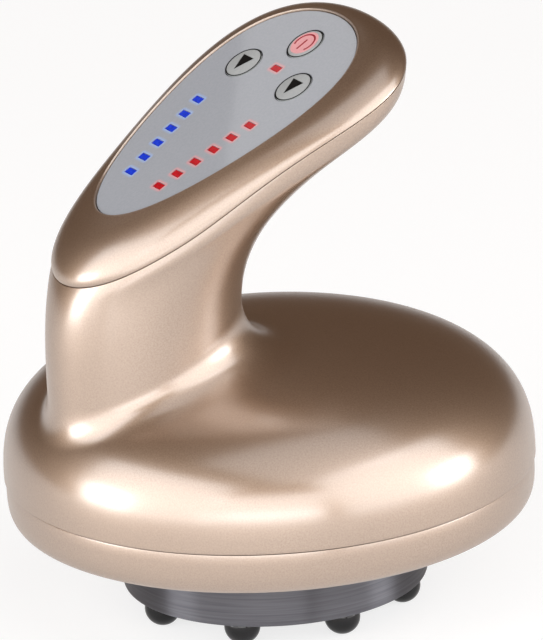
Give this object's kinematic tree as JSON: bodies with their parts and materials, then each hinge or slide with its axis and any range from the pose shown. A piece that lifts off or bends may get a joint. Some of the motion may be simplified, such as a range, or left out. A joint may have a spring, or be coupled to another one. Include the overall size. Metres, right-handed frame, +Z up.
{
  "type": "electric cupping massager",
  "caption": "Handheld cupping massager: round housing on a beaded suction ring, with a leaning handle whose head carries a control panel with press buttons and light rows.",
  "frame": {"origin": "on the dome's axis, in the plane of the bead tips that it stands on", "axes": "+Z up along the dome's axis, +X towards the head of the leaning handle, +Y to the handle's left"},
  "size_m": [0.122, 0.122, 0.136],
  "materials": {
    "champagne_paint": "satin pearl champagne paint on ABS",
    "dark_chrome": "dark mirror chrome",
    "black_bead": "polished black",
    "panel_grey": "glossy grey window",
    "key_grey": "glossy light grey",
    "blue_light": "clear blue, lit",
    "red_light": "clear red, lit",
    "black_plastic": "fine matte",
    "white_plastic": "plain moulded",
    "board_green": "solder resist",
    "plain_steel": "bright",
    "warm_plate": "fine brushed",
    "cell_blue": "shrink sleeve",
    "copper_wound": "enamelled winding",
    "silicone": "translucent matte",
    "black_foam": "matte"
  },
  "bodies": {
    "housing": {"upper_housing": "champagne_paint", "handle_cover": "champagne_paint", "control_panel": "panel_grey", "suction_light_guide": "blue_light", "heat_light_guide": "red_light", "status_light_guide": "red_light", "control_board": "board_green", "power_switch": "black_plastic", "suction_switch": "black_plastic", "heat_switch": "black_plastic", "board_screw_1": "plain_steel", "board_screw_2": "plain_steel", "lower_housing": "champagne_paint", "cup_gasket": "black_foam", "cup_ring": "dark_chrome", "cup_bowl": "black_plastic", "light_board": "board_green", "light_ring": "red_light", "heater_plate": "warm_plate", "filter_cap": "black_plastic", "suction_filter": "black_foam", "bead_1": "black_bead", "bead_2": "black_bead", "bead_3": "black_bead", "bead_4": "black_bead", "bead_5": "black_bead", "bead_6": "black_bead", "bead_7": "black_bead", "bead_8": "black_bead", "ring_screw_1": "plain_steel", "ring_screw_2": "plain_steel", "ring_screw_3": "plain_steel", "ring_screw_4": "plain_steel", "housing_screw_1": "plain_steel", "housing_screw_2": "plain_steel", "housing_screw_3": "plain_steel", "housing_screw_4": "plain_steel", "inner_chassis": "white_plastic", "battery_cell": "cell_blue", "pump_motor": "plain_steel", "motor_end_cap": "black_plastic", "pump_body": "black_plastic", "pump_diaphragm": "silicone", "pump_head": "black_plastic", "valve_body": "plain_steel", "valve_cap": "white_plastic", "valve_spring": "plain_steel", "hose_tee": "white_plastic", "pump_hose": "silicone", "valve_hose": "silicone", "cup_hose": "silicone", "main_board": "board_green", "charging_socket": "plain_steel", "handle_cable": "black_foam"},
    "power_key": {"power_button": "key_grey"},
    "suction_key": {"suction_button": "key_grey"},
    "heat_key": {"heat_button": "key_grey"},
    "rotor": {"pump_rotor": "copper_wound"},
    "plunger": {"valve_plunger": "plain_steel"}
  },
  "joints": [
    {"name": "power_press", "type": "slide", "parent": "housing", "child": "power_key", "axis": [-0.4679, 0, 0.8838], "range_m": [-0.0005, 0], "stiffness_N_per_m": 800, "springref_m": 0.0005},
    {"name": "suction_press", "type": "slide", "parent": "housing", "child": "suction_key", "axis": [-0.4679, 0, 0.8838], "range_m": [-0.0005, 0], "stiffness_N_per_m": 800, "springref_m": 0.0005},
    {"name": "heat_press", "type": "slide", "parent": "housing", "child": "heat_key", "axis": [-0.4679, 0, 0.8838], "range_m": [-0.0005, 0], "stiffness_N_per_m": 800, "springref_m": 0.0005},
    {"name": "rotor_spin", "type": "hinge", "parent": "housing", "child": "rotor", "pos_m": [0, 0.024, 0.046], "axis": [1, 0, 0], "continuous": true},
    {"name": "valve_lift", "type": "slide", "parent": "housing", "child": "plunger", "axis": [0, 0, -1], "range_m": [0, 0.0015], "stiffness_N_per_m": 300, "springref_m": -0.001, "deforming": ["valve_spring"]}
  ]
}
